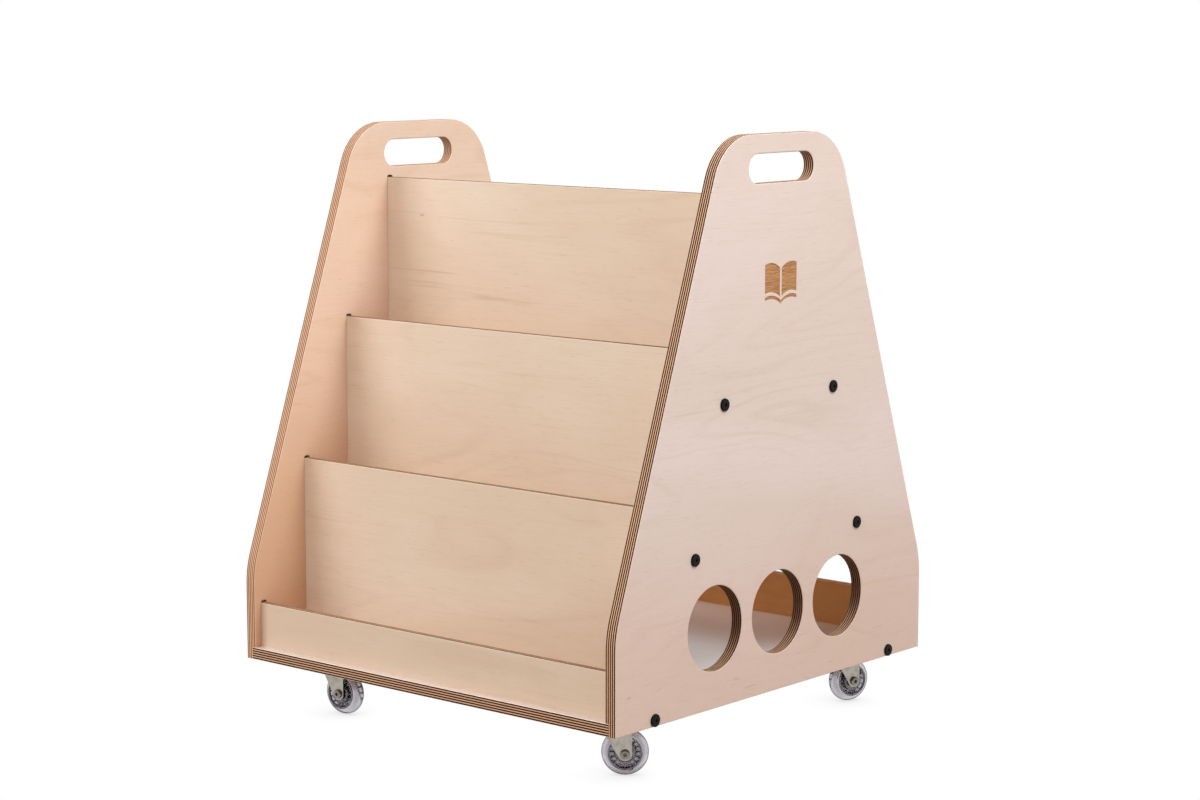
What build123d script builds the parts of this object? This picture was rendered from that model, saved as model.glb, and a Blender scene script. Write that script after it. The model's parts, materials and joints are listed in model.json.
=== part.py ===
from build123d import *
import math
import os

# Book cart: two cut plywood sides, three stepped book tiers in front, open bays
# behind, and four swivel casters under the base board.
# X runs across the cart, -Y is the front, Z is up. The origin is on the floor
# under the middle of the cart. Every size is in millimetres.

# ---------------------------------------------------------------- cart sizes
CART_WIDTH = 600.0
CART_DEPTH = 595.0
SIDE_HEIGHT = 658.0
CASTER_HEIGHT = 70.0

BOARD_THICKNESS = 15.0
PANEL_THICKNESS = 9.0
HOUSING_DEPTH = BOARD_THICKNESS / 3

# The sides are upright up to the bend and then lean in to the rounded top.
BEND_HEIGHT = 114.0
BEND_RADIUS = 120.0
TOP_HALF_DEPTH = 109.5
TOP_RADIUS = 70.0
SIDE_EDGE_ROUND = 1.0

HANDLE_LENGTH = 124.0
HANDLE_HEIGHT = 34.0
HANDLE_CENTRE_BELOW_TOP = 39.5
HANDLE_EDGE_ROUND = 1.5
GRIP_HOLE_RADIUS = 50.0
GRIP_HOLE_PITCH = 120.0
GRIP_HOLE_HEIGHT = 94.5

# Every tier is one step up and one step back from the tier below it.
TIER_RISE = 172.5
TIER_SETBACK = 76.2
LOWER_PANEL_FRONT = -209.8
DISPLAY_PANEL_HEIGHT = 228.0
LIP_HEIGHT = DISPLAY_PANEL_HEIGHT - TIER_RISE
LIP_SETBACK = 10.6
PANEL_EDGE_ROUND = 1.0
BOARD_EDGE_ROUND = 0.8
GROOVE_SIDE_GAP = 0.3
GROOVE_END_GAP = 0.2
GROOVE_TOP_GAP = 2.5
GROOVE_CORNER_RADIUS = 2.4

# ------------------------------------------------------------ cart fasteners
BOLT_RADIUS = 3.0
BOLT_LENGTH = 50.0
BOLT_HOLE_RADIUS = 3.5
BOLT_HEAD_RADIUS = 7.5
BOLT_HEAD_THICKNESS = 2.6
BOLT_HEAD_ROUND = 1.4
BOLT_SOCKET_WIDTH = 4.0
BOLT_SOCKET_DEPTH = 1.8
BOLT_HOLE_OVERRUN = 5.0
BARREL_RADIUS = 5.0
BARREL_LENGTH = 12.0
BARREL_THREAD_RADIUS = 3.05
BARREL_HOLE_DEPTH = 13.5
BARREL_FROM_HEAD = 38.0
BASE_BOLT_Y = 229.0
MIDDLE_BOLT_Y = 158.0
TOP_BOLT_Y = 105.5

# ------------------------------------------------- engraved book pictogram
PICTOGRAM_HEIGHT_ON_SIDE = 485.0
PICTOGRAM_DEPTH = 0.8
PAGE_WIDTH = 29.0
PAGE_HEIGHT = 34.0
PAGE_RISE = 5.0
PAGE_BULGE = 4.0
SPINE_GAP = 3.0
COVER_WIDTH = 4.0
COVER_GAP = 4.0

# -------------------------------------------------------------------- casters
PIN_INSET = 75.0
TRAIL = 20.0
WHEEL_RADIUS = 27.5
TREAD_ROUND_RADIUS = 10.0
TREAD_INNER_RADIUS = 20.0

PLATE_SIZE = 60.0
PLATE_THICKNESS = 2.5
PLATE_CORNER_RADIUS = 6.0
SCREW_PITCH = 44.0
SCREW_HOLE_RADIUS = 2.6
SCREW_RADIUS = 2.2
SCREW_LENGTH = 14.0
SCREW_POINT_LENGTH = 4.0
SCREW_POINT_RADIUS = 0.4
SCREW_HEAD_RADIUS = 4.2
SCREW_HEAD_THICKNESS = 2.4
SCREW_HEAD_ROUND = 1.2
RECESS_LENGTH = 4.6
RECESS_WIDTH = 1.0
RECESS_DEPTH = 1.4

BALL_RADIUS = 2.0
BALL_COUNT = 16
RACE_RADIUS = 15.0
RACE_GROOVE_RADIUS = 2.04
RACE_INNER_RADIUS = 12.0
RACE_OUTER_RADIUS = 18.4
RACE_SPLIT = 0.8
DUST_LIP_INNER_RADIUS = 19.0
DUST_LIP_OUTER_RADIUS = 20.2
DUST_LIP_GAP = 0.9

PIN_RADIUS = 4.0
PIN_HEAD_RADIUS = 7.0
PIN_HEAD_THICKNESS = 3.0
PIN_HEAD_ROUND = 1.0
PIN_HEAD_GAP = 0.1
RUNNING_CLEARANCE = 0.05

SHEET_THICKNESS = 2.0
FORK_INNER_WIDTH = 23.0
FORK_BEND_RADIUS = 3.5
FORK_CROWN_TOP = 59.5
FORK_FRONT = -6.0
FORK_EYE_RADIUS = 8.0
FORK_SHOULDER_DROP = 4.0

AXLE_RADIUS = 3.0
AXLE_HEAD_RADIUS = 5.4
AXLE_HEAD_THICKNESS = 3.2
AXLE_HEAD_ROUND = 1.6
AXLE_SOCKET_WIDTH = 4.0
AXLE_SOCKET_DEPTH = 1.8
NUT_WIDTH = 10.0
NUT_THICKNESS = 5.0
NUT_CORNER_CUT = 0.6
AXLE_END = 1.5
SLEEVE_RADIUS = 4.0
SLEEVE_INNER_RADIUS = 3.05
SLEEVE_GAP = 0.1

BEARING_RADIUS = 9.0
BEARING_WIDTH = 7.0
BEARING_RING_WIDTH = 1.4
BEARING_SHIELD_SINK = 0.4
HUB_RADIUS = 12.5
HUB_HALF_WIDTH = 10.0
HUB_CORE_RADIUS = 5.0
WEB_HALF_THICKNESS = 2.0
RIM_INNER_RADIUS = 17.6
RIM_HALF_WIDTH = 9.4
RIB_COUNT = 16
RIB_THICKNESS = 1.2
RIB_HALF_WIDTH = 8.0
RIB_OVERLAP = 0.6

# Each caster: name, side of the cart in X, side in Y, and the heading in
# degrees in which its wheel trails the king pin at rest.
CASTERS = (
    ("caster_front_right", 1, -1, 40.0),
    ("caster_rear_right", 1, 1, 70.0),
    ("caster_front_left", -1, -1, 4.0),
    ("caster_rear_left", -1, 1, 25.0),
)

# ------------------------------------------------------------- derived values
INNER_FACE = CART_WIDTH / 2 - BOARD_THICKNESS
HOUSED_END = INNER_FACE + HOUSING_DEPTH
HALF_DEPTH = CART_DEPTH / 2
BASE_TOP = CASTER_HEIGHT + BOARD_THICKNESS
MIDDLE_FLOOR = BASE_TOP + TIER_RISE
TOP_FLOOR = MIDDLE_FLOOR + TIER_RISE
MIDDLE_PANEL_FRONT = LOWER_PANEL_FRONT + TIER_SETBACK
UPPER_PANEL_FRONT = MIDDLE_PANEL_FRONT + TIER_SETBACK
MIDDLE_SHELF_HALF_DEPTH = -(LOWER_PANEL_FRONT + PANEL_THICKNESS)
TOP_SHELF_HALF_DEPTH = -(MIDDLE_PANEL_FRONT + PANEL_THICKNESS)
FRONT_LIP_FRONT = -HALF_DEPTH + LIP_SETBACK
SMALL_STEP = 1.0

# Upright panels: front face in Y, floor they stand on, and height.
UPRIGHTS = {
    "front_lip": (FRONT_LIP_FRONT, BASE_TOP, LIP_HEIGHT),
    "display_panel_lower": (LOWER_PANEL_FRONT, BASE_TOP, DISPLAY_PANEL_HEIGHT),
    "display_panel_middle": (MIDDLE_PANEL_FRONT, MIDDLE_FLOOR, DISPLAY_PANEL_HEIGHT),
    "display_panel_upper": (UPPER_PANEL_FRONT, TOP_FLOOR, DISPLAY_PANEL_HEIGHT),
    "rear_lip_lower": (HALF_DEPTH - LIP_SETBACK - PANEL_THICKNESS, BASE_TOP, LIP_HEIGHT),
    "rear_lip_middle": (
        MIDDLE_SHELF_HALF_DEPTH - LIP_SETBACK - PANEL_THICKNESS, MIDDLE_FLOOR, LIP_HEIGHT),
    "rear_lip_upper": (
        TOP_SHELF_HALF_DEPTH - LIP_SETBACK - PANEL_THICKNESS, TOP_FLOOR, LIP_HEIGHT),
}

# Flat boards: half depth in Y, top face in Z, and the bolts' distance from the middle.
BOARDS = {
    "base_board": (HALF_DEPTH, BASE_TOP, BASE_BOLT_Y),
    "shelf_middle": (MIDDLE_SHELF_HALF_DEPTH, MIDDLE_FLOOR, MIDDLE_BOLT_Y),
    "shelf_top": (TOP_SHELF_HALF_DEPTH, TOP_FLOOR, TOP_BOLT_Y),
}


# ---------------------------------------------------------------- small tools
def block(x_low, x_high, y_low, y_high, z_low, z_high):
    """A box between two corners."""
    middle = Pos((x_low + x_high) / 2, (y_low + y_high) / 2, (z_low + z_high) / 2)
    return middle * Box(x_high - x_low, y_high - y_low, z_high - z_low)


def rod(radius, start, end):
    """A cylinder between two points on one of the axes' directions."""
    base = Vector(*start)
    along = Vector(*end) - base
    return extrude(Plane(origin=base, z_dir=along) * Circle(radius), along.length)


def ring(outer_radius, inner_radius, start, end):
    """A tube between two points."""
    return rod(outer_radius, start, end) - rod(inner_radius, start, end)


def hexagon(width, start, end):
    """A hexagonal prism between two points, measured across its flats."""
    base = Vector(*start)
    along = Vector(*end) - base
    corner_radius = width / math.sqrt(3)
    return extrude(Plane(origin=base, z_dir=along) * RegularPolygon(corner_radius, 6), along.length)


def export(name, shape):
    export_step(shape, "parts/" + name + ".step")


def bolt_positions():
    """Y and Z of every connector bolt on one side."""
    return [
        (sign * bolt_y, floor - BOARD_THICKNESS / 2)
        for _, floor, bolt_y in BOARDS.values()
        for sign in (-1, 1)
    ]


# ---------------------------------------------------------------- side panels
def side_blank():
    """The right side's plate with its handle slot and its three round holes."""
    outline = Polyline(
        (-HALF_DEPTH, 0),
        (-HALF_DEPTH, BEND_HEIGHT),
        (-TOP_HALF_DEPTH, SIDE_HEIGHT),
        (TOP_HALF_DEPTH, SIDE_HEIGHT),
        (HALF_DEPTH, BEND_HEIGHT),
        (HALF_DEPTH, 0),
        close=True,
    )
    sketch = make_face(outline)
    top_corners = [v for v in sketch.vertices() if v.Y > SIDE_HEIGHT - SMALL_STEP]
    sketch = fillet(top_corners, TOP_RADIUS)
    bends = [v for v in sketch.vertices() if abs(v.Y - BEND_HEIGHT) < SMALL_STEP]
    sketch = fillet(bends, BEND_RADIUS)
    for step in (-1, 0, 1):
        sketch -= Pos(step * GRIP_HOLE_PITCH, GRIP_HOLE_HEIGHT) * Circle(GRIP_HOLE_RADIUS)
    plane = Plane(
        origin=(INNER_FACE, 0, CASTER_HEIGHT), x_dir=(0, 1, 0), z_dir=(1, 0, 0))
    plate = extrude(plane * sketch, BOARD_THICKNESS)
    plate = fillet(plate.edges().filter_by(Axis.X, reverse=True), SIDE_EDGE_ROUND)

    handle = Pos(0, SIDE_HEIGHT - HANDLE_CENTRE_BELOW_TOP) * SlotOverall(HANDLE_LENGTH, HANDLE_HEIGHT)
    plate -= extrude(plane * handle, BOARD_THICKNESS)
    return fillet(handle_edges(plate), HANDLE_EDGE_ROUND)


def handle_edges(plate):
    """The edges of the handle slot on both faces of the side."""
    centre = Vector(0, 0, CASTER_HEIGHT + SIDE_HEIGHT - HANDLE_CENTRE_BELOW_TOP)
    edges = []
    for edge in plate.edges().filter_by(Axis.X, reverse=True):
        box = edge.bounding_box()
        far_y = max(abs(box.min.Y), abs(box.max.Y))
        far_z = max(abs(box.min.Z - centre.Z), abs(box.max.Z - centre.Z))
        if far_y < HANDLE_LENGTH / 2 + SMALL_STEP and far_z < HANDLE_HEIGHT / 2 + SMALL_STEP:
            edges.append(edge)
    return edges


def upright_groove(front, floor, height):
    """The stopped groove that holds one end of an upright panel."""
    width = PANEL_THICKNESS + 2 * GROOVE_SIDE_GAP
    middle_y = front + PANEL_THICKNESS / 2
    groove = block(
        INNER_FACE - HOUSING_DEPTH, HOUSED_END,
        middle_y - width / 2, middle_y + width / 2,
        floor, floor + height + GROOVE_TOP_GAP,
    )
    top_edges = groove.edges().filter_by(Axis.X).group_by(Axis.Z)[-1]
    return fillet(top_edges, GROOVE_CORNER_RADIUS)


def page_outline():
    """One page of the open book, with its spine on the right of the page."""
    spine = -SPINE_GAP / 2
    edge = spine - PAGE_WIDTH
    middle = (spine + edge) / 2
    bulge = PAGE_RISE / 2 + PAGE_BULGE
    return make_face([
        ThreePointArc((spine, 0), (middle, bulge), (edge, PAGE_RISE)),
        Line((edge, PAGE_RISE), (edge, PAGE_RISE + PAGE_HEIGHT)),
        ThreePointArc(
            (edge, PAGE_RISE + PAGE_HEIGHT), (middle, bulge + PAGE_HEIGHT), (spine, PAGE_HEIGHT)),
        Line((spine, PAGE_HEIGHT), (spine, 0)),
    ])


def cover_outline():
    """The line of the book's cover under one page."""
    edge = -SPINE_GAP / 2 - PAGE_WIDTH
    upper = -COVER_GAP
    lower = upper - COVER_WIDTH
    bulge = PAGE_RISE / 2 + PAGE_BULGE
    return make_face([
        ThreePointArc((0, upper), (edge / 2, upper + bulge), (edge, upper + PAGE_RISE)),
        Line((edge, upper + PAGE_RISE), (edge, lower + PAGE_RISE)),
        ThreePointArc((edge, lower + PAGE_RISE), (edge / 2, lower + bulge), (0, lower)),
        Line((0, lower), (0, upper)),
    ])


def book_pictogram():
    """The shallow engraved open book on the right side's outer face."""
    left_half = page_outline() + cover_outline()
    whole = left_half + mirror(left_half, about=Plane.YZ)
    plane = Plane(
        origin=(CART_WIDTH / 2, 0, CASTER_HEIGHT + PICTOGRAM_HEIGHT_ON_SIDE - PAGE_HEIGHT / 2),
        x_dir=(0, 1, 0), z_dir=(1, 0, 0))
    return extrude(plane * whole, -PICTOGRAM_DEPTH)


def side_panel():
    """The right side with its grooves, its housings and its bolt holes."""
    panel = side_blank()
    for half_depth, floor, _ in BOARDS.values():
        panel -= block(
            INNER_FACE - HOUSING_DEPTH, HOUSED_END,
            -half_depth, half_depth, floor - BOARD_THICKNESS, floor)
    for front, floor, height in UPRIGHTS.values():
        panel -= upright_groove(front, floor, height)
    for y, z in bolt_positions():
        panel -= rod(BOLT_HOLE_RADIUS, (HOUSED_END - SMALL_STEP, y, z), (CART_WIDTH / 2, y, z))
    return panel


# ---------------------------------------------------- boards and upright panels
def board(half_depth, floor, bolt_y):
    """A flat board whose ends are housed in the sides, drilled for its connectors."""
    plank = block(
        -HOUSED_END, HOUSED_END, -half_depth, half_depth, floor - BOARD_THICKNESS, floor)
    plank = fillet(plank.edges().filter_by(Axis.X), BOARD_EDGE_ROUND)
    hole_end = CART_WIDTH / 2 - BOLT_LENGTH - BOLT_HOLE_OVERRUN
    barrel_x = CART_WIDTH / 2 - BARREL_FROM_HEAD
    underside = floor - BOARD_THICKNESS
    middle = floor - BOARD_THICKNESS / 2
    for side in (-1, 1):
        for y in (-bolt_y, bolt_y):
            plank -= rod(BOLT_HOLE_RADIUS, (side * hole_end, y, middle), (side * HOUSED_END, y, middle))
            plank -= rod(
                BARREL_RADIUS,
                (side * barrel_x, y, underside),
                (side * barrel_x, y, underside + BARREL_HOLE_DEPTH))
    return plank


def upright(front, floor, height):
    """An upright panel with its ends in the side grooves."""
    half_length = HOUSED_END - GROOVE_END_GAP
    panel = block(
        -half_length, half_length, front, front + PANEL_THICKNESS, floor, floor + height)
    top_edges = panel.edges().filter_by(Axis.X).group_by(Axis.Z)[-1]
    return fillet(top_edges, PANEL_EDGE_ROUND)


def connector_bolt(side, y, z):
    """A black furniture bolt with a low round head and a hexagonal socket."""
    face = side * CART_WIDTH / 2
    head_top = face + side * BOLT_HEAD_THICKNESS
    head = rod(BOLT_HEAD_RADIUS, (face, y, z), (head_top, y, z))
    rim = head.edges().filter_by(GeomType.CIRCLE).sort_by(Axis.X)
    head = fillet(rim[-1] if side > 0 else rim[0], BOLT_HEAD_ROUND)
    head -= hexagon(
        BOLT_SOCKET_WIDTH, (head_top, y, z), (head_top - side * BOLT_SOCKET_DEPTH, y, z))
    return head + rod(BOLT_RADIUS, (face - side * BOLT_LENGTH, y, z), (face, y, z))


def barrel_nut(side, y, z):
    """The cross dowel that a connector bolt screws into."""
    x = side * (CART_WIDTH / 2 - BARREL_FROM_HEAD)
    nut = rod(BARREL_RADIUS, (x, y, z - BARREL_LENGTH / 2), (x, y, z + BARREL_LENGTH / 2))
    return nut - rod(
        BARREL_THREAD_RADIUS, (x - BARREL_RADIUS, y, z), (x + BARREL_RADIUS, y, z))


# -------------------------------------------------------------------- casters
# A caster is built with its king pin on the Z axis and its wheel trailing along +X.
PLATE_UNDERSIDE = CASTER_HEIGHT - PLATE_THICKNESS
CROWN_UNDERSIDE = FORK_CROWN_TOP - SHEET_THICKNESS
BALL_HEIGHT = (PLATE_UNDERSIDE + FORK_CROWN_TOP) / 2
FORK_HALF_WIDTH = FORK_INNER_WIDTH / 2 + SHEET_THICKNESS
HALF_GAUGE = FORK_INNER_WIDTH / 2


def screw_corners():
    """X and Y of the four plate screws around the king pin."""
    half = SCREW_PITCH / 2
    return [(x, y) for x in (-half, half) for y in (-half, half)]


def race_groove():
    return Pos(0, 0, BALL_HEIGHT) * Torus(RACE_RADIUS, RACE_GROOVE_RADIUS)


def caster_plate():
    """The top plate with the upper half of the ball race pressed into it."""
    plate = block(
        -PLATE_SIZE / 2, PLATE_SIZE / 2, -PLATE_SIZE / 2, PLATE_SIZE / 2,
        PLATE_UNDERSIDE, CASTER_HEIGHT)
    plate = fillet(plate.edges().filter_by(Axis.Z), PLATE_CORNER_RADIUS)
    plate += ring(
        RACE_OUTER_RADIUS, RACE_INNER_RADIUS,
        (0, 0, BALL_HEIGHT + RACE_SPLIT), (0, 0, PLATE_UNDERSIDE))
    plate -= race_groove()
    for x, y in screw_corners():
        plate -= rod(SCREW_HOLE_RADIUS, (x, y, PLATE_UNDERSIDE), (x, y, CASTER_HEIGHT))
    return plate - rod(PIN_RADIUS, (0, 0, PLATE_UNDERSIDE), (0, 0, CASTER_HEIGHT))


def plate_screw(x, y):
    """A pan head wood screw, pointing up into the base board."""
    head_bottom = PLATE_UNDERSIDE - SCREW_HEAD_THICKNESS
    head = rod(SCREW_HEAD_RADIUS, (x, y, head_bottom), (x, y, PLATE_UNDERSIDE))
    lower_rim = head.edges().filter_by(GeomType.CIRCLE).sort_by(Axis.Z)[0]
    head = fillet(lower_rim, SCREW_HEAD_ROUND)
    for length, width in ((RECESS_LENGTH, RECESS_WIDTH), (RECESS_WIDTH, RECESS_LENGTH)):
        head -= block(
            x - length / 2, x + length / 2, y - width / 2, y + width / 2,
            head_bottom, head_bottom + RECESS_DEPTH)
    shoulder = PLATE_UNDERSIDE + SCREW_LENGTH - SCREW_POINT_LENGTH
    shank = rod(SCREW_RADIUS, (x, y, PLATE_UNDERSIDE), (x, y, shoulder))
    point = Pos(x, y, shoulder + SCREW_POINT_LENGTH / 2) * Cone(
        SCREW_RADIUS, SCREW_POINT_RADIUS, SCREW_POINT_LENGTH)
    return head + shank + point


def king_pin():
    """The rivet the fork turns on."""
    head_top = CROWN_UNDERSIDE - PIN_HEAD_GAP
    head = rod(PIN_HEAD_RADIUS, (0, 0, head_top - PIN_HEAD_THICKNESS), (0, 0, head_top))
    lower_rim = head.edges().filter_by(GeomType.CIRCLE).sort_by(Axis.Z)[0]
    head = fillet(lower_rim, PIN_HEAD_ROUND)
    return head + rod(PIN_RADIUS, (0, 0, head_top), (0, 0, CASTER_HEIGHT))


def swivel_balls():
    """The balls between the plate's race and the fork's race."""
    step = 360 / BALL_COUNT
    return Compound([
        Rot(0, 0, step * index) * Pos(RACE_RADIUS, 0, BALL_HEIGHT) * Sphere(BALL_RADIUS)
        for index in range(BALL_COUNT)
    ])


def fork_legs():
    """The bent sheet: a channel over the wheel, cut to the shape of its two legs."""
    rear = TRAIL + FORK_EYE_RADIUS
    channel_bottom = WHEEL_RADIUS - FORK_EYE_RADIUS
    channel = block(
        FORK_FRONT, rear, -FORK_HALF_WIDTH, FORK_HALF_WIDTH, channel_bottom, FORK_CROWN_TOP)
    outer_bends = channel.edges().filter_by(Axis.X).group_by(Axis.Z)[-1]
    channel = fillet(outer_bends, FORK_BEND_RADIUS)
    hollow = block(
        FORK_FRONT, rear, -HALF_GAUGE, HALF_GAUGE, channel_bottom, CROWN_UNDERSIDE)
    inner_bends = hollow.edges().filter_by(Axis.X).group_by(Axis.Z)[-1]
    channel -= fillet(inner_bends, FORK_BEND_RADIUS - SHEET_THICKNESS)

    eye = Pos(TRAIL, WHEEL_RADIUS) * Circle(FORK_EYE_RADIUS)
    crown_line = Polyline(
        (FORK_FRONT, FORK_CROWN_TOP - FORK_SHOULDER_DROP),
        (FORK_FRONT, FORK_CROWN_TOP),
        (rear, FORK_CROWN_TOP),
    )
    leg_outline = make_hull(eye.edges() + crown_line.edges())
    plane = Plane(origin=(0, FORK_HALF_WIDTH, 0), x_dir=(1, 0, 0), z_dir=(0, -1, 0))
    return channel & extrude(plane * leg_outline, 2 * FORK_HALF_WIDTH)


def fork():
    """The swivel fork with the lower half of the ball race and its dust lip."""
    body = fork_legs()
    body += rod(DUST_LIP_OUTER_RADIUS, (0, 0, CROWN_UNDERSIDE), (0, 0, FORK_CROWN_TOP))
    body += ring(
        RACE_OUTER_RADIUS, RACE_INNER_RADIUS,
        (0, 0, FORK_CROWN_TOP), (0, 0, BALL_HEIGHT - RACE_SPLIT))
    body -= race_groove()
    body += ring(
        DUST_LIP_OUTER_RADIUS, DUST_LIP_INNER_RADIUS,
        (0, 0, FORK_CROWN_TOP), (0, 0, PLATE_UNDERSIDE - DUST_LIP_GAP))
    body -= rod(
        PIN_RADIUS + RUNNING_CLEARANCE, (0, 0, CROWN_UNDERSIDE), (0, 0, FORK_CROWN_TOP))
    return body - rod(
        AXLE_RADIUS, (TRAIL, -FORK_HALF_WIDTH, WHEEL_RADIUS), (TRAIL, FORK_HALF_WIDTH, WHEEL_RADIUS))


def axle_rod(radius, y_low, y_high):
    """A cylinder on the wheel's axle."""
    return rod(radius, (TRAIL, y_low, WHEEL_RADIUS), (TRAIL, y_high, WHEEL_RADIUS))


def axle_bolt():
    """The bolt through both legs, with its round socket head on the outside."""
    head_face = -FORK_HALF_WIDTH - AXLE_HEAD_THICKNESS
    head = axle_rod(AXLE_HEAD_RADIUS, head_face, -FORK_HALF_WIDTH)
    rim = head.edges().filter_by(GeomType.CIRCLE).sort_by(Axis.Y)[0]
    head = fillet(rim, AXLE_HEAD_ROUND)
    head -= hexagon(
        AXLE_SOCKET_WIDTH,
        (TRAIL, head_face, WHEEL_RADIUS), (TRAIL, head_face + AXLE_SOCKET_DEPTH, WHEEL_RADIUS))
    return head + axle_rod(AXLE_RADIUS, -FORK_HALF_WIDTH, FORK_HALF_WIDTH + NUT_THICKNESS + AXLE_END)


def axle_nut():
    """The hexagonal nut, with its outer corners turned off."""
    outer_face = FORK_HALF_WIDTH + NUT_THICKNESS
    nut = hexagon(
        NUT_WIDTH, (TRAIL, FORK_HALF_WIDTH, WHEEL_RADIUS), (TRAIL, outer_face, WHEEL_RADIUS))
    corner_radius = NUT_WIDTH / math.sqrt(3)
    turned = axle_rod(corner_radius, FORK_HALF_WIDTH, outer_face)
    rim = turned.edges().filter_by(GeomType.CIRCLE).sort_by(Axis.Y)[-1]
    nut = nut & chamfer(rim, NUT_CORNER_CUT)
    return nut - axle_rod(AXLE_RADIUS, FORK_HALF_WIDTH, outer_face)


def axle_sleeve():
    """The tube between the legs that the wheel's bearings run on."""
    end = HALF_GAUGE - SLEEVE_GAP
    return axle_rod(SLEEVE_RADIUS, -end, end) - axle_rod(SLEEVE_INNER_RADIUS, -end, end)


def wheel_core():
    """The clear moulded centre: hub, web, ribs and rim."""
    core = axle_rod(TREAD_INNER_RADIUS, -RIM_HALF_WIDTH, RIM_HALF_WIDTH)
    for side in (-1, 1):
        core -= axle_rod(
            RIM_INNER_RADIUS,
            *sorted((side * WEB_HALF_THICKNESS, side * RIM_HALF_WIDTH)))
    core += axle_rod(HUB_RADIUS, -HUB_HALF_WIDTH, HUB_HALF_WIDTH)
    rib_inner = HUB_RADIUS - RIB_OVERLAP
    rib_outer = RIM_INNER_RADIUS + RIB_OVERLAP
    rib = block(
        rib_inner, rib_outer, -RIB_HALF_WIDTH, RIB_HALF_WIDTH, -RIB_THICKNESS / 2, RIB_THICKNESS / 2)
    for index in range(RIB_COUNT):
        core += Pos(TRAIL, 0, WHEEL_RADIUS) * Rot(0, 360 / RIB_COUNT * index, 0) * rib
    core -= axle_rod(HUB_CORE_RADIUS, -HUB_HALF_WIDTH, HUB_HALF_WIDTH)
    for low, high in bearing_spans():
        core -= axle_rod(BEARING_RADIUS, low, high)
    return core


def bearing_spans():
    """The stretch of the axle that each of the two bearings takes up."""
    inner = HUB_HALF_WIDTH - BEARING_WIDTH
    return ((-HUB_HALF_WIDTH, -inner), (inner, HUB_HALF_WIDTH))


def wheel_bearings():
    """Two shielded bearings, each with its shields a little below the rings."""
    bearings = []
    bore = SLEEVE_RADIUS + RUNNING_CLEARANCE
    for low, high in bearing_spans():
        bearing = axle_rod(BEARING_RADIUS, low, high)
        for end, depth in ((low, BEARING_SHIELD_SINK), (high, -BEARING_SHIELD_SINK)):
            span = sorted((end, end + depth))
            shield = axle_rod(BEARING_RADIUS - BEARING_RING_WIDTH, *span)
            shield -= axle_rod(bore + BEARING_RING_WIDTH, *span)
            bearing -= shield
        bearings.append(bearing - axle_rod(bore, low, high))
    return Compound(bearings)


def wheel_tread():
    """The clear tyre, half round in section."""
    round_centre = WHEEL_RADIUS - TREAD_ROUND_RADIUS
    half_width = math.sqrt(TREAD_ROUND_RADIUS ** 2 - (TREAD_INNER_RADIUS - round_centre) ** 2)
    section = make_face([
        Line((TREAD_INNER_RADIUS, half_width), (TREAD_INNER_RADIUS, -half_width)),
        ThreePointArc(
            (TREAD_INNER_RADIUS, -half_width), (WHEEL_RADIUS, 0), (TREAD_INNER_RADIUS, half_width)),
    ])
    tread = revolve(section, Axis.Y)
    return Pos(TRAIL, 0, WHEEL_RADIUS) * tread


def caster_pieces():
    """Every piece of one caster, by the last part of its name."""
    return {
        "plate": caster_plate(),
        "plate_screws": Compound([plate_screw(x, y) for x, y in screw_corners()]),
        "king_pin": king_pin(),
        "swivel_balls": swivel_balls(),
        "fork": fork(),
        "axle_bolt": axle_bolt(),
        "axle_nut": axle_nut(),
        "axle_sleeve": axle_sleeve(),
        "wheel_core": wheel_core(),
        "wheel_tread": wheel_tread(),
        "wheel_bearings": wheel_bearings(),
    }


def pin_place(side_x, side_y):
    """Where a caster's king pin stands under the base board."""
    return side_x * (CART_WIDTH / 2 - PIN_INSET), side_y * (HALF_DEPTH - PIN_INSET)


# --------------------------------------------------------------------- export
os.makedirs("parts", exist_ok=True)

right_side = side_panel()
export("side_panel_left", mirror(right_side, about=Plane.YZ))
export("side_panel_right", right_side - book_pictogram())

for name, (half_depth, floor, bolt_y) in BOARDS.items():
    plank = board(half_depth, floor, bolt_y)
    if name == "base_board":
        for _, side_x, side_y, _ in CASTERS:
            pin_x, pin_y = pin_place(side_x, side_y)
            for x, y in screw_corners():
                plank -= rod(
                    SCREW_RADIUS,
                    (pin_x + x, pin_y + y, CASTER_HEIGHT),
                    (pin_x + x, pin_y + y, PLATE_UNDERSIDE + SCREW_LENGTH))
    export(name, plank)

for name, (front, floor, height) in UPRIGHTS.items():
    export(name, upright(front, floor, height))

bolt_places = [(side, y, z) for side in (-1, 1) for y, z in bolt_positions()]
export("connector_bolts", Compound([connector_bolt(*place) for place in bolt_places]))
export("barrel_nuts", Compound([barrel_nut(*place) for place in bolt_places]))

pieces = caster_pieces()
fixed_to_board = ("plate", "plate_screws", "king_pin")
for caster, side_x, side_y, heading in CASTERS:
    pin_x, pin_y = pin_place(side_x, side_y)
    for piece, shape in pieces.items():
        turn = 0.0 if piece in fixed_to_board else heading
        export(caster + "_" + piece, Pos(pin_x, pin_y, 0) * Rot(0, 0, turn) * shape)
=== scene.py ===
import json
import math

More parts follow.
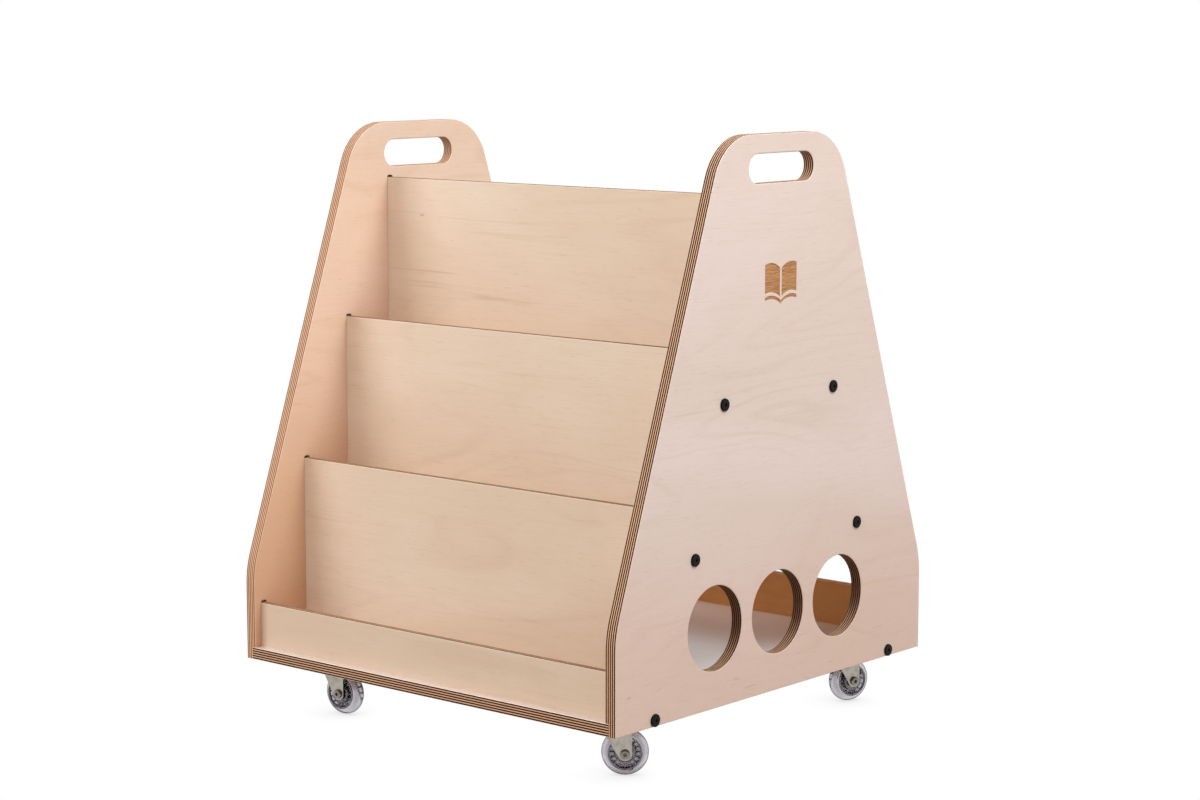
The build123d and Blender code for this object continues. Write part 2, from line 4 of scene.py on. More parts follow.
import bmesh
import bpy
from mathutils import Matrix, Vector


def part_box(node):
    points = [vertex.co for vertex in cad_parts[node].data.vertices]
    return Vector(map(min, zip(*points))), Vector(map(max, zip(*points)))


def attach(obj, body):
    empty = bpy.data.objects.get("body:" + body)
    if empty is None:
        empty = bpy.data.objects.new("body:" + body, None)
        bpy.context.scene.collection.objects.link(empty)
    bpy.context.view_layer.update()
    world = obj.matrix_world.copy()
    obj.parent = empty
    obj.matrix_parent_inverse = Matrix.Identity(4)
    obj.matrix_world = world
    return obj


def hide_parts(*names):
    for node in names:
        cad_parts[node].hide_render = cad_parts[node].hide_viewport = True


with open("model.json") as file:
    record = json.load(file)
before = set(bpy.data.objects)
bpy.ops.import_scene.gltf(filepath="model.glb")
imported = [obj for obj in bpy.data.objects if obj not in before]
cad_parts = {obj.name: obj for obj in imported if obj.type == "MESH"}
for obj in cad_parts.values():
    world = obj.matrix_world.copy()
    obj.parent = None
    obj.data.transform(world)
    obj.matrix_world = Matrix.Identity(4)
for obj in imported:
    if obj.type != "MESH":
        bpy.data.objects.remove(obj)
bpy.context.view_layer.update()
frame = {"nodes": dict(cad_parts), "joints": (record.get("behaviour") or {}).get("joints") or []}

# The camera, in the frame's metres and degrees.
CAMERA_PLACE = (2.2118, -2.5614, 0.8611)
CAMERA_YAW = 40.51
CAMERA_PITCH = 7.93
CAMERA_LENS_MM = 82.6
SENSOR_WIDTH_MM = 36.0

# The studio's light. Places are in metres and powers in watts.
AMBIENT_LEVEL = 0.45
DIM_ROOM_LEVEL = 0.12
DIM_ROOM_SPAN = (0.1, 0.7)
SOFTBOXES = (
    # name, place, point it faces, size, power
    ("right", (1.8, 0.1, 2.15), (0.25, 0.0, 0.5), 1.2, 38.0),
    ("front_right", (0.7, -2.6, 1.9), (0.0, 0.0, 0.4), 1.4, 21.0),
    ("front_left", (-1.1, -1.5, 1.3), (0.0, 0.0, 0.4), 1.0, 16.5),
)
FLOOR_HALF_SIZE = 40.0
FLOOR_BOUNCE = (0.34, 0.27, 0.22, 1.0)
CONTACT_SHADOW_REACH = 0.07
CONTACT_SHADOW_LEVEL = 0.72

X_AXIS, Y_AXIS, Z_AXIS = 0, 1, 2
UNIT = ((1.0, 0.0, 0.0), (0.0, 1.0, 0.0), (0.0, 0.0, 1.0))
WHITE = (1.0, 1.0, 1.0, 1.0)

# The clear core's radii, as shares of its outer radius.
BORE_SHARE = 0.25
SEAT_RADIUS_SHARE = 0.452
HUB_SHARE = 0.625
RIM_SHARE = 0.88
EASE_SHARE = 0.015

# The core's heights, as shares of its half width.
SEAT_SHARE = 0.30
WEB_HEIGHT = 0.20
RIB_HEIGHT = 0.80
RIM_HEIGHT = 0.94

# The ribs: how many, the share of the space between two middles that each takes, the share of
# a rib that a sloped side takes, and the stops in the web between two ribs.
RIB_COUNT = 16
RIB_SHARE = 0.24
RIB_SLOPE = 0.12
WEB_STOPS = (0.3, 0.5, 0.7)

# The tyre's smoothness, the stops across its flat bore, and the gap between tyre and core.
TREAD_STEPS = 28
TREAD_TURNS = 128
TREAD_BORE_STOPS = (-0.97, -0.5, 0.0, 0.5, 0.97)
SHARP_ANGLE = 38.0
FILM_GAP = 0.00005


# ------------------------------------------------------------ node tree tools
def srgb(red, green, blue):
    """A screen colour from 0 to 255 as the linear colour that Blender uses."""
    def linear(level):
        level /= 255
        return level / 12.92 if level <= 0.04045 else ((level + 0.055) / 1.055) ** 2.4
    return (linear(red), linear(green), linear(blue), 1.0)


class Shader:
    """Builds one material out of nodes, with one short method for each kind of node."""

    def __init__(self, name):
        self.material = bpy.data.materials.new(name)
        self.material.use_nodes = True
        self.tree = self.material.node_tree
        self.surface = self.tree.nodes["Principled BSDF"]
        self.coordinate = self.node("ShaderNodeTexCoord").outputs["Object"]
        self.normal = self.node("ShaderNodeNewGeometry").outputs["Normal"]

    def node(self, kind):
        return self.tree.nodes.new(kind)

    def feed(self, socket, value):
        """Links an output to a socket, or sets the socket to a plain value."""
        if isinstance(value, bpy.types.NodeSocket):
            self.tree.links.new(value, socket)
        else:
            socket.default_value = value

    def math(self, operation, first, second=0.0, third=0.0):
        node = self.node("ShaderNodeMath")
        node.operation = operation
        for socket, value in zip(node.inputs, (first, second, third)):
            self.feed(socket, value)
        return node.outputs[0]

    def vector(self, operation, first, second):
        node = self.node("ShaderNodeVectorMath")
        node.operation = operation
        self.feed(node.inputs[0], first)
        self.feed(node.inputs[1], second)
        return node.outputs["Value" if operation == "DOT_PRODUCT" else "Vector"]

    def parts(self, vector):
        node = self.node("ShaderNodeSeparateXYZ")
        self.feed(node.inputs[0], vector)
        return node.outputs

    def join(self, x, y, z):
        node = self.node("ShaderNodeCombineXYZ")
        for socket, value in zip(node.inputs, (x, y, z)):
            self.feed(socket, value)
        return node.outputs[0]

    def noise(self, vector, scale, detail=2.0, roughness=0.5, distortion=0.0):
        node = self.node("ShaderNodeTexNoise")
        self.feed(node.inputs["Vector"], vector)
        node.inputs["Scale"].default_value = scale
        node.inputs["Detail"].default_value = detail
        node.inputs["Roughness"].default_value = roughness
        node.inputs["Distortion"].default_value = distortion
        return node.outputs["Fac"]

    def cells(self, vector, scale):
        """The distance to the nearest of a set of scattered points, and that point's colour."""
        node = self.node("ShaderNodeTexVoronoi")
        self.feed(node.inputs["Vector"], vector)
        node.inputs["Scale"].default_value = scale
        return node.outputs["Distance"], node.outputs["Color"]

    def span(self, value, low, high, to_low=0.0, to_high=1.0):
        """Maps low..high to to_low..to_high, smoothly and clamped."""
        node = self.node("ShaderNodeMapRange")
        node.interpolation_type = "SMOOTHSTEP"
        for socket, number in zip(node.inputs, (value, low, high, to_low, to_high)):
            self.feed(socket, number)
        return node.outputs[0]

    def mix(self, factor, first, second):
        """Mixes two colours."""
        node = self.node("ShaderNodeMix")
        node.data_type = "RGBA"
        self.feed(node.inputs["Factor"], factor)
        self.feed(node.inputs[6], first)
        self.feed(node.inputs[7], second)
        return node.outputs[2]

    def blend(self, factor, first, second):
        """Blends two plain values."""
        node = self.node("ShaderNodeMix")
        node.data_type = "FLOAT"
        self.feed(node.inputs[0], factor)
        self.feed(node.inputs[2], first)
        self.feed(node.inputs[3], second)
        return node.outputs[0]

    def bump(self, height, distance):
        node = self.node("ShaderNodeBump")
        self.feed(node.inputs["Height"], height)
        node.inputs["Distance"].default_value = distance
        node.inputs["Strength"].default_value = 1.0
        self.feed(self.surface.inputs["Normal"], node.outputs[0])

    def openness(self, reach, samples):
        """1 where nothing stands within reach of the surface, and less in corners."""
        node = self.node("ShaderNodeAmbientOcclusion")
        node.samples = samples
        node.inputs["Distance"].default_value = reach
        return node.outputs["AO"]

    def set(self, **inputs):
        """Feeds inputs of the surface node, named with underscores for spaces."""
        for name, value in inputs.items():
            self.feed(self.surface.inputs[name.replace("_", " ")], value)


# -------------------------------------------------------------------- plywood
# Each set of face tones goes from the palest wood to the colour of a mineral streak.
COOL_TONES = (srgb(236, 219, 212), srgb(231, 211, 200), srgb(214, 186, 166), srgb(172, 130, 100))
ROSY_TONES = (srgb(246, 220, 200), srgb(242, 211, 186), srgb(220, 179, 143), srgb(164, 114, 78))
SAND_TONES = (srgb(236, 215, 193), srgb(228, 203, 178), srgb(208, 176, 144), srgb(160, 116, 80))
TAN_TONES = (srgb(232, 209, 186), srgb(222, 196, 170), srgb(202, 170, 138), srgb(156, 112, 78))
# Painted shade and warm bounced light, for the inner face of the lower rear lip.
REAR_LIP_SHADE_TONES = (srgb(254, 190, 118), srgb(248, 172, 96), srgb(222, 138, 70), srgb(156, 90, 44))

KNOT_BROWN = srgb(112, 72, 48)
FLECK_BROWN = srgb(124, 82, 54)
EDGE_TINT = srgb(132, 84, 54)
# The colour of the painted shade on the walls of the sides' cutouts.
CUTOUT_SHADE_BROWN = srgb(62, 24, 8)
CHAR_TONES = (srgb(206, 158, 112), srgb(158, 106, 66))
# The amber of the painted shade low down on the sides.
LOW_SHADE_AMBER = srgb(214, 152, 98)
# The colour of the painted shade in inside corners.
CORNER_SHADE_BROWN = srgb(168, 106, 62)
SCUFF_GREY = srgb(168, 134, 108)

# The pale and the dark plies of a cut edge.
DEEP_EDGE = (srgb(232, 186, 150), srgb(38, 14, 7))
SOFT_EDGE = (srgb(242, 200, 166), srgb(138, 92, 66))

# The plies in a thick and in a thin board, and the shares of its thickness that a face ply takes
# and that the lines between plies waver by.
SIDE_PLIES = 11
PANEL_PLIES = 7
FACE_PLY_SHARE = 0.055
PLY_WAVER = 0.010

# How often each pattern repeats in a metre, along the grain and across it.
CLOUD_GRAIN = (2.2, 5.0)
FIGURE_GRAIN = (1.5, 6.5)
FIGURE_PATCHES = (3.0, 7.0)
FIBRE_GRAIN = (14.0, 620.0)
PORE_GRAIN = (55.0, 1500.0)
STREAK_GRAIN = (3.2, 85.0)
STREAK_PATCHES = (2.0, 9.0)
KNOT_GRAIN = (5.0, 9.0)
FLECK_GRAIN = (8.0, 26.0)
PLY_WAVES = (4.0, 4.0)
CHAR_GRAIN = (60.0, 1100.0)
AMBER_GRAIN = (3.0, 4.0)
SCUFF_GRAIN = (30.0, 240.0)

# The contour lines in the figure's field, and how often a cut edge's pores repeat in a metre.
FIGURE_LINES = 26.0
EDGE_PORES = (160.0, 160.0, 160.0)

# How strongly each pattern shows, from 0 to 1.
FIGURE_STRENGTH = 0.26
FIBRE_STRENGTH = 0.26
PORE_STRENGTH = 0.28
STREAK_STRENGTH = 0.30
HALO_STRENGTH = 0.22
KNOT_STRENGTH = 0.55
FLECK_STRENGTH = 0.60
EDGE_TINT_STRENGTH = 0.22

# The zones of a side's cutouts: how far each reaches from the middle, as a share of the side's
# half depth, its lowest and highest points, as shares of the side's height, and how much painted
# shade darkens the walls in it. The first is the round holes' and the second the handle slot's.
SIDE_CUTOUTS = ((0.62, 0.046, 0.29, 0.66), (0.25, 0.805, 0.98, 0.25))

# The engraved side, and the depths in metres between which the floor of its engraving lies.
ENGRAVED_SIDE = "side_panel_right"
ENGRAVING_FROM = (0.0004, 0.0006)
ENGRAVING_UNTIL = (0.0012, 0.0016)

# How much the wood is darkened towards amber near the floor as painted shade, and the heights
# between which that fades.
OUTER_AMBER, OUTER_AMBER_TOP = 0.28, 0.40
INNER_AMBER, INNER_AMBER_TOP = 0.60, 0.62
AMBER_BOTTOM = 0.08
AMBER_DRIFT = 0.16
# How far the painted corner shade reaches.
CORNER_REACH = 0.12
SCUFF_SPAN = (0.09, 0.16)

# Where each board's pattern starts. The boards and the uprights each go on in equal steps.
RIGHT_SIDE_SEED = 4.6
LEFT_SIDE_SEED = 7.7
BOARD_SEED, BOARD_SEED_STEP = 11.3, 2.9
UPRIGHT_SEED, UPRIGHT_SEED_STEP = 21.7, 3.3
SEED_TURN = 0.37


def grain_coordinate(shader, axis, across, seed):
    """A coordinate with the grain along its X and the other face direction along its Y."""
    place = shader.parts(shader.coordinate)
    return shader.join(
        shader.math("ADD", place[axis], seed),
        place[across],
        shader.math("MULTIPLY", seed, SEED_TURN))


def stretched(shader, coordinate, repeats):
    """The coordinate scaled along and across the grain."""
    along, sideways = repeats
    return shader.vector("MULTIPLY", coordinate, (along, sideways, 1.0))


def facing_inward(shader, node):
    """1 on the side of a sheet that looks at the middle of the cart, 0 on the other."""
    low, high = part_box(node)
    middle = [(start + end) / 2 for start, end in zip(low, high)]
    facing = shader.vector("DOT_PRODUCT", shader.normal, (middle[X_AXIS], middle[Y_AXIS], 0.0))
    return shader.math("LESS_THAN", facing, 0.0)


def face_veneer(shader, grain, tones):
    """The colour and the height of a rotary cut birch face."""
    pale, middle, deep, streak = tones
    cloud = shader.noise(stretched(shader, grain, CLOUD_GRAIN), 1.0, 4.0, 0.55, 0.4)
    colour = shader.mix(shader.span(cloud, 0.30, 0.70), pale, middle)

    # The figure is the contour lines of a smooth field that is long along the grain.
    field = shader.noise(stretched(shader, grain, FIGURE_GRAIN), 1.0, 1.5, 0.45, 0.6)
    contour = shader.math("PINGPONG", shader.math("MULTIPLY", field, FIGURE_LINES), 1.0)
    figure = shader.math(
        "MULTIPLY", shader.span(contour, 0.55, 1.0),
        shader.span(shader.noise(stretched(shader, grain, FIGURE_PATCHES), 1.0, 2.0), 0.40, 0.72))
    colour = shader.mix(shader.math("MULTIPLY", figure, FIGURE_STRENGTH), colour, deep)

    # Fine fibres, and the short open pores between them.
    fibre = shader.noise(stretched(shader, grain, FIBRE_GRAIN), 1.0, 3.0, 0.6)
    colour = shader.mix(shader.span(fibre, 0.45, 0.85, 0.0, FIBRE_STRENGTH), colour, deep)
    pores = shader.noise(stretched(shader, grain, PORE_GRAIN), 1.0, 1.0)
    pore = shader.span(pores, 0.66, 0.76)
    colour = shader.mix(shader.math("MULTIPLY", pore, PORE_STRENGTH), colour, streak)

    # Narrow mineral streaks, in patches.
    bands = shader.noise(stretched(shader, grain, STREAK_GRAIN), 1.0, 2.0, 0.5, 0.8)
    wash = shader.noise(stretched(shader, grain, STREAK_PATCHES), 1.0, 2.0)
    streaks = shader.math(
        "MULTIPLY", shader.span(bands, 0.60, 0.74), shader.span(wash, 0.52, 0.70))
    colour = shader.mix(shader.math("MULTIPLY", streaks, STREAK_STRENGTH), colour, streak)

    # A few knots with a darker ring of wood around them.
    distance, pick = shader.cells(stretched(shader, grain, KNOT_GRAIN), 1.0)
    chosen = shader.span(shader.parts(pick)[0], 0.80, 0.82)
    knot = shader.math("MULTIPLY", shader.span(distance, 0.008, 0.022, 1.0, 0.0), chosen)
    halo = shader.math("MULTIPLY", shader.span(distance, 0.02, 0.13, 1.0, 0.0), chosen)
    colour = shader.mix(shader.math("MULTIPLY", halo, HALO_STRENGTH), colour, streak)
    colour = shader.mix(shader.math("MULTIPLY", knot, KNOT_STRENGTH), colour, KNOT_BROWN)

    # Pin knots and short dark flecks, longer along the grain than across it.
    distance, pick = shader.cells(stretched(shader, grain, FLECK_GRAIN), 1.0)
    fleck = shader.math(
        "MULTIPLY", shader.span(distance, 0.02, 0.055, 1.0, 0.0),
        shader.span(shader.parts(pick)[1], 0.90, 0.91))
    colour = shader.mix(shader.math("MULTIPLY", fleck, FLECK_STRENGTH), colour, FLECK_BROWN)

    height = shader.math("SUBTRACT", shader.math("MULTIPLY", fibre, 0.6), pore)
    return colour, height, fibre


def ply_edge(shader, depth, plies, odd_axis, grain, pale, deep):
    """The colour of a cut edge: dark plies that show their pores, between pale ones."""
    wave = shader.noise(stretched(shader, grain, PLY_WAVES), 1.0, 1.0)
    level = shader.math("ADD", depth, shader.math("MULTIPLY_ADD", wave, PLY_WAVER, -PLY_WAVER / 2))
    # The two face plies are thin, and the others share what is left. The count starts at 0.
    scale = (plies - 2) / (1.0 - 2 * FACE_PLY_SHARE)
    count = shader.math("MULTIPLY_ADD", level, scale, 1.0 - FACE_PLY_SHARE * scale)
    # One whole wave for every two plies, below zero on the odd ones.
    phase = shader.math("MULTIPLY", count, math.pi)
    end_on = shader.math("ABSOLUTE", shader.vector("DOT_PRODUCT", shader.normal, UNIT[odd_axis]))
    strength = shader.span(end_on, 0.0, 0.9, 0.80, 1.0)
    dark_ply = shader.span(shader.math("SINE", phase), -0.10, 0.55, strength, 0.0)
    colour = shader.mix(dark_ply, pale, deep)

    tint = shader.noise(shader.vector("MULTIPLY", shader.coordinate, EDGE_PORES), 1.0, 3.0, 0.6)
    colour = shader.mix(shader.span(tint, 0.45, 0.85, 0.0, EDGE_TINT_STRENGTH), colour, EDGE_TINT)
    return colour, tint


def shade_cutout_walls(shader, colour, low, high):
    """Painted shade on the walls of cutouts, least on the parts that face up, where light falls."""
    half_depth = (high[Y_AXIS] - low[Y_AXIS]) / 2
    height = high[Z_AXIS] - low[Z_AXIS]
    place = shader.parts(shader.coordinate)
    across = shader.math("ABSOLUTE", place[Y_AXIS])
    upright = shader.span(shader.parts(shader.normal)[Z_AXIS], 0.2, 0.9, 1.0, 0.3)
    for reach, bottom, top, shade_share in SIDE_CUTOUTS:
        limits = (
            shader.math("LESS_THAN", across, reach * half_depth),
            shader.math("GREATER_THAN", place[Z_AXIS], low[Z_AXIS] + bottom * height),
            shader.math("LESS_THAN", place[Z_AXIS], low[Z_AXIS] + top * height))
        inside = shader.math("MULTIPLY", upright, shade_share)
        for limit in limits:
            inside = shader.math("MULTIPLY", inside, limit)
        colour = shader.mix(inside, colour, CUTOUT_SHADE_BROWN)
    return colour


def burn_engraving(shader, colour, place, face, thickness_axis, grain):
    """Browns the floor of a shallow engraving: flat, and a little below the face."""
    sunk = shader.math("SUBTRACT", face, place)
    flat = shader.vector("DOT_PRODUCT", shader.normal, UNIT[thickness_axis])
    floor = shader.math(
        "MULTIPLY", shader.span(sunk, *ENGRAVING_FROM), shader.span(flat, 0.90, 0.97))
    floor = shader.math("MULTIPLY", floor, shader.span(sunk, *ENGRAVING_UNTIL, 1.0, 0.0))
    char = shader.noise(stretched(shader, grain, CHAR_GRAIN), 1.0, 3.0, 0.6)
    burnt = shader.mix(shader.span(char, 0.35, 0.70), *CHAR_TONES)
    return shader.mix(floor, colour, burnt)


def shade_low_and_scuff(shader, colour, grain, inward):
    """Painted shade low down and in inside corners, deepest on inward faces, and scuffs near the
    bottom edge.
    """
    amount = shader.blend(inward, OUTER_AMBER, INNER_AMBER)
    top = shader.blend(inward, OUTER_AMBER_TOP, INNER_AMBER_TOP)
    height = shader.parts(shader.coordinate)[Z_AXIS]
    cloud = shader.noise(stretched(shader, grain, AMBER_GRAIN), 1.0, 2.0)
    wander = shader.math("MULTIPLY_ADD", cloud, AMBER_DRIFT, -AMBER_DRIFT / 2)
    level = shader.math("ADD", height, wander)
    # Painted shade: darker and more amber towards the floor, most on the inward faces.
    colour = shader.mix(shader.span(level, AMBER_BOTTOM, top, amount, 0.0), colour, LOW_SHADE_AMBER)
    # Painted shade: brown in inside corners, where little light reaches, on the inward faces only.
    corner = shader.span(shader.openness(CORNER_REACH, 4), 0.20, 0.70, 0.60, 0.0)
    colour = shader.mix(shader.math("MULTIPLY", corner, inward), colour, CORNER_SHADE_BROWN)
    rub = shader.noise(stretched(shader, grain, SCUFF_GRAIN), 1.0, 4.0, 0.65)
    scuff = shader.math(
        "MULTIPLY", shader.span(rub, 0.62, 0.74), shader.span(height, *SCUFF_SPAN, 0.35, 0.0))
    return shader.mix(scuff, colour, SCUFF_GREY)


def plywood(name, node, thickness_axis, grain_axis, odd_axis, plies, tones, seed,
            inner_tones=None, lacquer=0.12, edges=DEEP_EDGE):
    """A whole sheet of plywood, with its plies at their real depth in the sheet."""
    shader = Shader(name)
    low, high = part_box(node)
    across = 3 - thickness_axis - grain_axis
    grain = grain_coordinate(shader, grain_axis, across, seed)
    place = shader.parts(shader.coordinate)[thickness_axis]
    size = high[thickness_axis] - low[thickness_axis]
    depth = shader.math("DIVIDE", shader.math("SUBTRACT", place, low[thickness_axis]), size)

    if inner_tones:
        inward = facing_inward(shader, node)
        tones = [shader.mix(inward, *pair) for pair in zip(tones, inner_tones)]
    face, height, fibre = face_veneer(shader, grain, tones)
    is_side = thickness_axis == X_AXIS
    if is_side:
        # Painted shade low down and in inside corners, and scuffs near the bottom edge.
        face = shade_low_and_scuff(shader, face, grain, inward)
    edge, tint = ply_edge(shader, depth, plies, odd_axis, grain, *edges)
    if is_side:
        # Painted shade on the walls of the cutouts.
        edge = shade_cutout_walls(shader, edge, low, high)
    skin = shader.math("MINIMUM", depth, shader.math("SUBTRACT", 1.0, depth))
    cut = shader.span(skin, 0.5 * FACE_PLY_SHARE, 0.9 * FACE_PLY_SHARE)
    colour = shader.mix(cut, face, edge)
    if node == ENGRAVED_SIDE:
        colour = burn_engraving(shader, colour, place, high[thickness_axis], thickness_axis, grain)
    shader.set(Base_Color=colour)
    shader.set(Roughness=shader.blend(cut, shader.span(fibre, 0.3, 0.8, 0.40, 0.52), 0.66))
    shader.set(Specular_IOR_Level=shader.blend(cut, 0.5, 0.08))
    shader.set(Coat_Weight=shader.blend(cut, lacquer, 0.0), Coat_Roughness=0.20)
    shader.set(Coat_IOR=1.5 + 0.25 * lacquer)
    shader.bump(shader.blend(cut, height, tint), 0.00006)
    return shader


def paint(node, shader):
    """Gives a CAD node one material."""
    mesh = frame["nodes"][node].data
    mesh.materials.clear()
    mesh.materials.append(shader.material)


def dress_plywood():
    """Plywood on the sides, the flat boards and the upright panels."""
    sides = {
        "side_panel_right": (RIGHT_SIDE_SEED, DEEP_EDGE),
        "side_panel_left": (LEFT_SIDE_SEED, SOFT_EDGE),
    }
    for node, (seed, edges) in sides.items():
        paint(node, plywood(
            node + "_plywood", node, X_AXIS, Y_AXIS, Y_AXIS, SIDE_PLIES, COOL_TONES, seed,
            inner_tones=ROSY_TONES, edges=edges))
    for index, node in enumerate(("base_board", "shelf_middle", "shelf_top")):
        seed = BOARD_SEED + BOARD_SEED_STEP * index
        paint(node, plywood(
            node + "_plywood", node, Z_AXIS, X_AXIS, Y_AXIS, SIDE_PLIES, COOL_TONES, seed,
            lacquer=1.0))
    uprights = (
        "front_lip", "display_panel_lower", "display_panel_middle", "display_panel_upper",
        "rear_lip_lower", "rear_lip_middle", "rear_lip_upper")
    for index, node in enumerate(uprights):
        seed = UPRIGHT_SEED + UPRIGHT_SEED_STEP * index
        tones = TAN_TONES if node == "front_lip" else SAND_TONES
        # The lower rear lip's inner face gets amber tones as painted shade and bounced light.
        inner_tones = REAR_LIP_SHADE_TONES if node == "rear_lip_lower" else None
        paint(node, plywood(
            node + "_plywood", node, Y_AXIS, X_AXIS, Z_AXIS, PANEL_PLIES, tones, seed,
            inner_tones=inner_tones))


# ---------------------------------------------------------------- metal parts
# Patterns are in repeats per metre, and RECESS_REACH and FINE_DENTS are in metres.
METAL_LINES = (900.0, 900.0, 60.0)
METAL_BLOTCHES = 140.0
DULL_SHARE = 0.62
LINE_ROUGHNESS = 0.22
RECESS_REACH = 0.004
RECESS_DARK = srgb(44, 38, 34)

PLASTIC_IOR = 1.47
PLASTIC_FLOW = 60.0
PLASTIC_SCUFFS = (260.0, 260.0, 900.0)
# Painted shade on the clear plastic: grey where it faces the eye, dark along its outline, and the
# outline's dimmed reflection.
PLASTIC_FACING_SHADE = srgb(172, 164, 174)
PLASTIC_OUTLINE_SHADE = srgb(52, 48, 52)
PLASTIC_OUTLINE_REFLECTION_DIM = srgb(120, 114, 120)
FINE_DENTS = 0.00002


def metal(name, colour, roughness, metallic=1.0, specular=0.5):
    """Plated or blackened steel with fine drawing lines and blotches, darker in its recesses."""
    shader = Shader(name)
    lines = shader.noise(shader.vector("MULTIPLY", shader.coordinate, METAL_LINES), 1.0, 3.0, 0.6)
    blotch = shader.noise(shader.coordinate, METAL_BLOTCHES, 3.0, 0.55)
    dull = tuple(level * DULL_SHARE for level in colour[:3]) + (1.0,)
    plated = shader.mix(shader.span(blotch, 0.35, 0.75, 0.0, 0.7), colour, dull)
    # Darker in recesses, by how enclosed the surface is.
    recess_dark = shader.span(shader.openness(RECESS_REACH, 6), 0.25, 0.85, 0.85, 0.0)
    shader.set(Base_Color=shader.mix(recess_dark, plated, RECESS_DARK))
    rough = shader.math("MULTIPLY_ADD", lines, LINE_ROUGHNESS, roughness - LINE_ROUGHNESS / 2)
    rough = shader.math("ADD", rough, shader.span(blotch, 0.4, 0.8, 0.0, 0.12))
    shader.set(Roughness=rough, Metallic=metallic, Specular_IOR_Level=specular)
    shader.bump(shader.math("ADD", lines, blotch), FINE_DENTS)
    return shader


def clear_plastic(name, colour, smoke, density):
    """Clear moulded plastic: faint flow marks, light scuffs, smoke grey where it is thick, and
    painted shade by its angle to the eye.
    """
    shader = Shader(name)
    flow = shader.noise(shader.coordinate, PLASTIC_FLOW, 2.0, 0.5, 1.5)
    scuff = shader.noise(shader.vector("MULTIPLY", shader.coordinate, PLASTIC_SCUFFS), 1.0, 3.0, 0.6)
    slant = shader.node("ShaderNodeLayerWeight")
    slant.inputs["Blend"].default_value = 0.5
    facing = slant.outputs["Facing"]
    # Painted shade by the angle to the eye: grey where it faces the eye, clear at a slant, and a
    # painted dark outline with a dimmed reflection.
    face = shader.mix(shader.span(facing, 0.08, 0.24, 0.8, 0.0), colour, PLASTIC_FACING_SHADE)
    rim = shader.span(facing, 0.36, 0.70)
    shader.set(Base_Color=shader.mix(rim, face, PLASTIC_OUTLINE_SHADE))
    shader.set(Specular_Tint=shader.mix(rim, WHITE, PLASTIC_OUTLINE_REFLECTION_DIM))
    shader.set(Transmission_Weight=1.0, IOR=PLASTIC_IOR)
    shader.set(Roughness=shader.span(scuff, 0.55, 0.85, 0.01, 0.08))
    shader.bump(shader.math("ADD", flow, shader.math("MULTIPLY", scuff, 0.04)), FINE_DENTS)
    absorb = shader.node("ShaderNodeVolumeAbsorption")
    absorb.inputs["Color"].default_value = smoke
    absorb.inputs["Density"].default_value = density
    shader.feed(shader.tree.nodes["Material Output"].inputs["Volume"], absorb.outputs[0])
    return shader


# ---------------------------------------------------------------- clear wheels
def wheel_joints():
    """The joint each wheel rolls on, by the corner of the cart it is at."""
    return {
        joint["name"].removesuffix("_roll"): joint
        for joint in frame["joints"] if joint["name"].endswith("_roll")
    }


def wheel_reach(node, centre, axis):
    """The smallest and largest radius about the axle of a CAD node, and its half width."""
    radii = []
    widths = []
    for vertex in frame["nodes"][node].data.vertices:
        arm = vertex.co - centre
        along = arm.dot(axis)
        widths.append(abs(along))
        radii.append((arm - axis * along).length)
    return min(radii), max(radii), max(widths)


def turned_mesh(name, sections, angles):
    """A closed ring: one section of (radius, height) points for every angle, all joined up."""
    mesh = bpy.data.meshes.new(name)
    ring = bmesh.new()
    rows = []
    for section, angle in zip(sections, angles):
        rows.append([
            ring.verts.new((radius * math.cos(angle), radius * math.sin(angle), height))
            for radius, height in section])
    for row, following in zip(rows, rows[1:] + rows[:1]):
        for index in range(len(row)):
            after = (index + 1) % len(row)
            ring.faces.new((row[index], following[index], following[after], row[after]))
    bmesh.ops.recalc_face_normals(ring, faces=ring.faces)
    ring.to_mesh(mesh)
    ring.free()
    mesh.shade_smooth()
    mesh.set_sharp_from_angle(angle=math.radians(SHARP_ANGLE))
    return mesh


def tread_mesh(name, inner, outer, half_width):
    """The tyre: half round outside, flat inside, with small rounded corners."""
    depth = outer - inner
    bend = (depth ** 2 + half_width ** 2) / (2 * depth)
    centre = outer - bend
    reach = math.asin(half_width / bend)
    section = [(inner + FILM_GAP, -half_width * stop) for stop in TREAD_BORE_STOPS]
    for step in range(TREAD_STEPS + 1):
        lean = reach * (2 * step / TREAD_STEPS - 1)
        section.append((centre + bend * math.cos(lean), bend * math.sin(lean)))
    angles = [2 * math.pi * step / TREAD_TURNS for step in range(TREAD_TURNS)]
    return turned_mesh(name, [section] * TREAD_TURNS, angles)


def core_section(outer, half_width, on_rib):
    """The core's whole section: from the bore out to the rim, and back as its mirror image."""
    floor = half_width * (RIB_HEIGHT if on_rib else WEB_HEIGHT)
    crest = half_width * RIM_HEIGHT
    ease = outer * EASE_SHARE
    hub = outer * HUB_SHARE
    rim = outer * RIM_SHARE
    upper = [
        (outer * BORE_SHARE, half_width * SEAT_SHARE),
        (outer * SEAT_RADIUS_SHARE, half_width * SEAT_SHARE),
        (outer * SEAT_RADIUS_SHARE, half_width - ease),
        (outer * SEAT_RADIUS_SHARE + ease, half_width),
        (hub - ease, half_width),
        (hub, half_width - ease),
        (hub + ease, floor + ease),
        (hub + 2 * ease, floor),
        (rim - 2 * ease, floor),
        (rim - ease, floor + ease),
        (rim, crest - ease),
        (rim + ease, crest),
        (outer - ease, crest),
        (outer - FILM_GAP, crest - ease),
    ]
    return upper + [(radius, -height) for radius, height in reversed(upper)]


